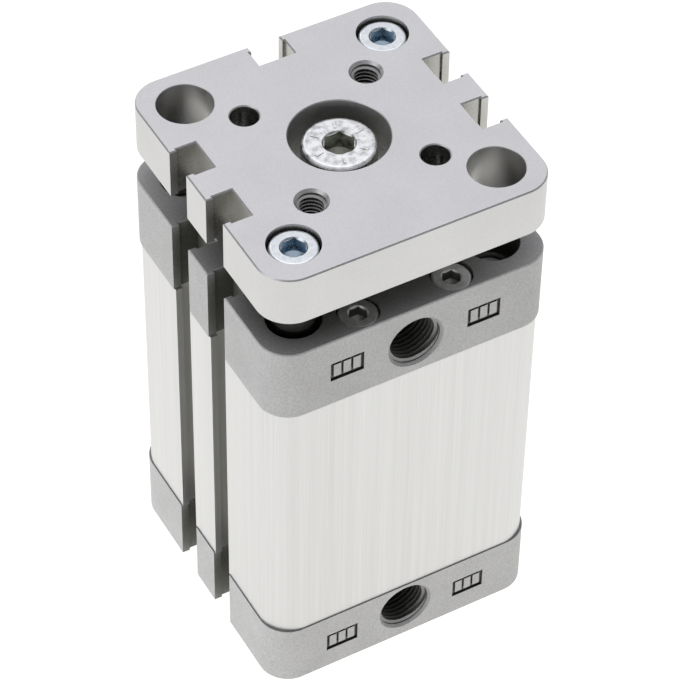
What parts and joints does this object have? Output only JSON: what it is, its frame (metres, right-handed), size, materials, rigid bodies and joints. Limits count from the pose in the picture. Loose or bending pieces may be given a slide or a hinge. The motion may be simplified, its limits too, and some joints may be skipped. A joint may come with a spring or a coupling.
{
  "type": "compact pneumatic cylinder",
  "caption": "Compact double-acting air cylinder with a square yoke plate and guide rods that keep the piston rod from turning; threaded ports on one face, sensor slots on the other three.",
  "frame": {"origin": "centre of the rear mounting face, on the piston rod's axis", "axes": "+Z out along the piston rod to the yoke plate; -Y is the face with the two air ports; the sensor slots are on -X, +X and +Y"},
  "size_m": [0.0538, 0.0538, 0.102],
  "materials": {
    "barrel_anodised": "satin clear-anodised extrusion with fine lines along its length",
    "cap_casting": "fine blasted die casting",
    "yoke_aluminium": "clear-anodised, fine milled faces",
    "zinc_steel": "bright zinc-plated, low head screw",
    "zinc_steel_blue": "bluish zinc-plated",
    "cap_screw_steel": "plain oiled steel",
    "guide_steel": "ground bright steel",
    "rod_chrome": "ground and hard chromed",
    "bearing_bronze": "sintered bronze",
    "piston_aluminium": "turned",
    "seal_rubber": "matt black nitrile",
    "bumper_elastomer": "matt polyurethane",
    "magnet_bonded": "plastic-bonded ferrite",
    "guide_ring_plastic": "natural acetal"
  },
  "bodies": {
    "body": {"barrel_profile": "barrel_anodised", "front_cap": "cap_casting", "rear_cap": "cap_casting", "front_cap_screws": "cap_screw_steel", "rear_cap_screws": "cap_screw_steel", "rod_bush": "bearing_bronze", "rod_seal": "seal_rubber", "rod_wiper": "seal_rubber", "front_cap_seal": "seal_rubber", "rear_cap_seal": "seal_rubber", "front_bumper": "bumper_elastomer", "rear_bumper": "bumper_elastomer", "guide_bush_left": "bearing_bronze", "guide_bush_right": "bearing_bronze"},
    "slider": {"yoke_plate": "yoke_aluminium", "yoke_screw": "zinc_steel", "guide_rod_screws": "zinc_steel_blue", "guide_rod_left": "guide_steel", "guide_rod_right": "guide_steel", "piston_rod": "rod_chrome", "piston_rear": "piston_aluminium", "piston_front": "piston_aluminium", "piston_oring": "seal_rubber", "piston_magnet": "magnet_bonded", "piston_guide_ring": "guide_ring_plastic", "piston_seal_rear": "seal_rubber", "piston_seal_front": "seal_rubber", "piston_screw": "cap_screw_steel"}
  },
  "joints": [
    {"name": "rod_stroke", "type": "slide", "parent": "body", "child": "slider", "axis": [0, 0, 1], "range_m": [0, 0.04]}
  ]
}
